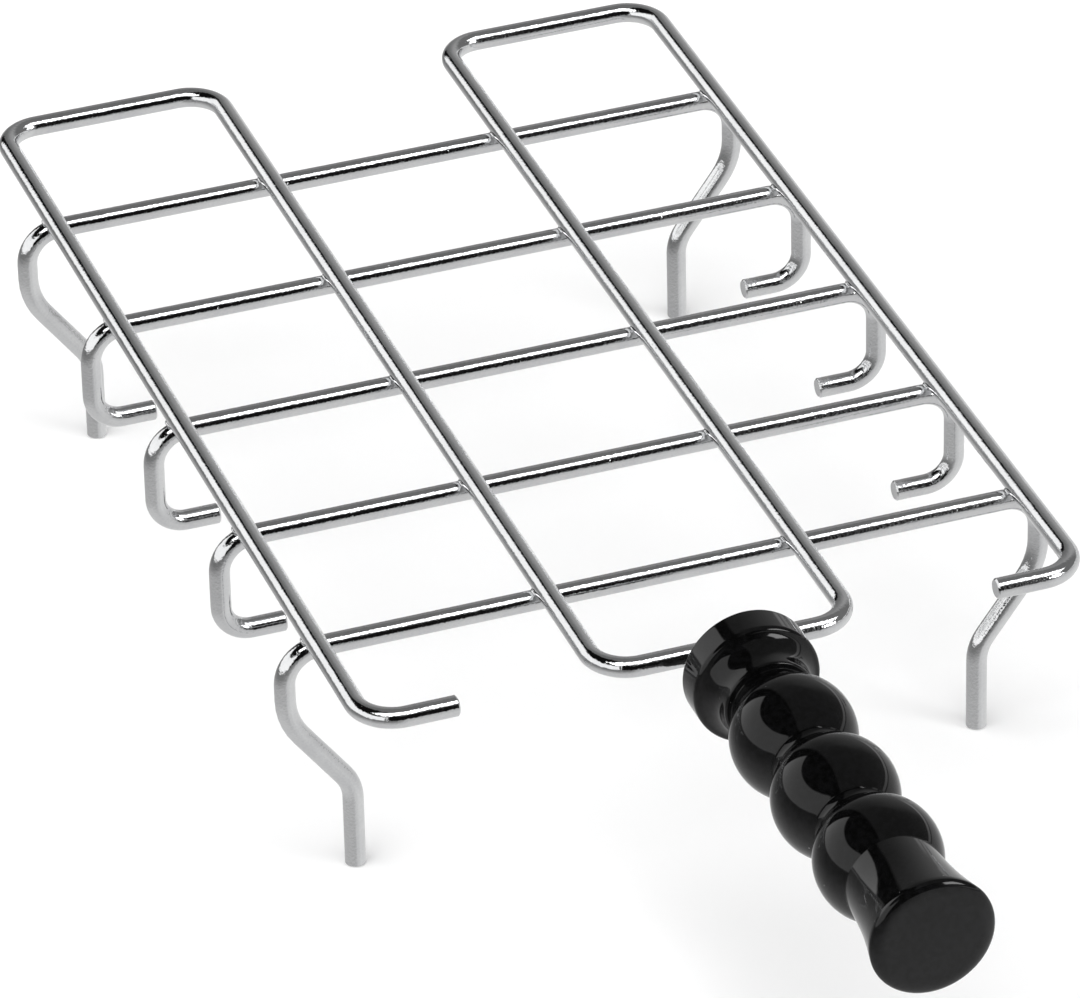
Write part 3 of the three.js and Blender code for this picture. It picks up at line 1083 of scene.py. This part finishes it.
def make_chrome():
    material, tree, shader = new_material("chrome plate")
    place = own_place(tree)
    cloud = noise(place, CLOUD_SIZE)
    grain = noise(place, GRAIN_SIZE, 3.0)
    pits = spots(place, PIT_SPACING, 0.05, 0.13) * noise(place, PIT_PATCH).ramp(0.55, 0.62)
    tone = cloud.ramp(*NOISE_SPAN) * 0.7 + grain.ramp(*NOISE_SPAN) * 0.3 - pits * 0.5
    rough = cloud.ramp(*NOISE_SPAN, *CHROME_ROUGHNESS) + grain.ramp(0.5, 0.7) * 0.03
    rough = rough + pits * 0.2
    relief = grain * 0.8 - pits * 0.6
    plug_in(
        tree, shader, Base_Color=tone.mix(CHROME_DARK, CHROME_LIGHT), Roughness=rough,
        Normal=bumped(relief, GRAIN_HEIGHT),
    )
    shader.inputs["Metallic"].default_value = 1
    return material


chrome = make_chrome()
plated = (grid_wire, *cross_wires.values(), welds, stud_weld)
for piece in plated:
    piece.data.materials.append(chrome)
print(chrome.name, "on", len(plated), "pieces")

# %% [markdown]
# ## Gloss black
# The handle is dipped in black lacquer over turned wood. The lacquer is a smooth, clear, hard
# film, so its shine is sharp, but it flows a little thicker in places, which bends reflections
# gently, and a few specks of dust are caught in it.

# %% Gloss black lacquer
LACQUER = (0.004, 0.004, 0.004, 1)
LACQUER_THIN = (0.008, 0.008, 0.0085, 1)
DUST = (0.22, 0.22, 0.22, 1)
LACQUER_IOR = 1.38
LACQUER_ROUGHNESS = (0.035, 0.06)
FLOW_SIZE = 6 * MM
FLOW_HEIGHT = 0.03 * MM
FILM_SIZE = 1.1 * MM
DUST_SPACING = 3.1 * MM
DUST_PATCH = 14 * MM


def make_gloss_black():
    material, tree, shader = new_material("gloss black lacquer")
    place = own_place(tree)
    flow = noise(place, FLOW_SIZE, 1.5)
    film = noise(place, FILM_SIZE, 3.0)
    dust = spots(place, DUST_SPACING, 0.035, 0.05) * noise(place, DUST_PATCH).ramp(0.53, 0.56)
    black = film.ramp(*NOISE_SPAN).mix(LACQUER, LACQUER_THIN)
    rough = film.ramp(0.35, 0.7, *LACQUER_ROUGHNESS) + dust * 0.4
    relief = flow + film * 0.03 + dust * 0.3
    plug_in(
        tree, shader, Base_Color=dust.mix(black, DUST), Roughness=rough,
        Normal=bumped(relief, FLOW_HEIGHT),
    )
    shader.inputs["IOR"].default_value = LACQUER_IOR
    return material


handle.data.materials.append(make_gloss_black())
print("lacquer on", handle.name)

# %% [markdown]
# ## Brass and zinc
# The insert is turned from brass bar and left bare: the tool leaves fine rings round it, and it
# darkens unevenly. The nut, the washer and the stud are steel with bright zinc, which is a
# bluish, slightly mottled grey with a satin shine. The brass comes first: its rings are a sine
# along the axis, wavering a little with a noise.

# %% Bare brass
BRASS_BRIGHT = (0.72, 0.52, 0.22, 1)
BRASS_DULL = (0.45, 0.30, 0.12, 1)
BRASS_ROUGHNESS = (0.16, 0.36)
TARNISH_SIZE = 2.5 * MM
TOOL_MARK = 0.16 * MM
TOOL_MARK_DEPTH = 0.004 * MM
RING_WAVER = 1.5 * MM


def make_brass():
    material, tree, shader = new_material("bare brass")
    place = own_place(tree)
    _, y, _ = parts_of(place)
    rings = (y * (2 * math.pi / TOOL_MARK) + noise(place, RING_WAVER) * 4.0).math("SINE")
    dull = noise(place, TARNISH_SIZE, 4.0).ramp(0.4, 0.65)
    rough = dull.ramp(0.0, 1.0, *BRASS_ROUGHNESS)
    plug_in(
        tree, shader, Base_Color=dull.mix(BRASS_BRIGHT, BRASS_DULL), Roughness=rough,
        Normal=bumped(rings * 0.5 + 0.5, TOOL_MARK_DEPTH),
    )
    shader.inputs["Metallic"].default_value = 1
    return material


insert.data.materials.append(make_brass())
print("brass on", insert.name)

# %% [markdown]
# ### Zinc plate
# Zinc grows in small crystals, so a cell pattern gives most of its mottle and a fine noise the
# rest. Its skin is a little uneven, which makes the shine satin.

# %% Zinc plate
ZINC_LIGHT = (0.62, 0.64, 0.67, 1)
ZINC_DARK = (0.40, 0.42, 0.46, 1)
ZINC_ROUGHNESS = (0.2, 0.38)
CRYSTAL_SIZE = 0.9 * MM
FINE_MOTTLE = 0.7 * MM
SKIN_SIZE = 0.2 * MM
SKIN_HEIGHT = 0.006 * MM


def make_zinc():
    material, tree, shader = new_material("zinc plate")
    place = own_place(tree)
    cells = place.node("ShaderNodeTexVoronoi", Vector=place, Scale=1 / CRYSTAL_SIZE)
    fine = noise(place, FINE_MOTTLE, 3.0)
    mottle = cells.ramp(0.0, 0.7) * 0.6 + fine.ramp(0.3, 0.7) * 0.4
    rough = mottle.ramp(0.0, 1.0, *ZINC_ROUGHNESS)
    plug_in(
        tree, shader, Base_Color=mottle.mix(ZINC_LIGHT, ZINC_DARK), Roughness=rough,
        Normal=bumped(noise(place, SKIN_SIZE), SKIN_HEIGHT),
    )
    shader.inputs["Metallic"].default_value = 1
    return material


zinc = make_zinc()
for piece in (nut, washer, stud):
    piece.data.materials.append(zinc)
print(zinc.name, "on", nut.name + ",", washer.name, "and", stud.name)

# %% [markdown]
# ## Light for the wires only
# The long softbox reaches the metal and not the handle, which keeps the lacquer deep black.

# %% Aim the softbox at the metal
metal = (*plated, nut, washer, stud, insert)
light_only(softbox, metal)
print("softbox lights", len(metal), "pieces")

# %% [markdown]
# ## Tying the pieces to the frame
# Each fine piece rides on the rack's one body and stands for its CAD node, which is then hidden.
# The welds stand for no node of their own: in the CAD model they are only where wires meet.

# %% Ride and replace
def stands_for(piece, node):
    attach(piece, "root")
    if node:
        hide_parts(node)


for node, wire in {"grid_wire": grid_wire, **cross_wires}.items():
    stands_for(wire, node)
for weld in (welds, stud_weld):
    stands_for(weld, None)
stands_for(handle, "handle_grip")
stands_for(insert, "threaded_insert")
for piece, node in ((stud, "handle_stud"), (nut, "lock_nut"), (washer, "washer")):
    stands_for(piece, node)
print(len(metal), "metal pieces and the handle ride on the rack's body")

# %% [markdown]
# ## The size
# The fine model must stay inside the box of the CAD model.
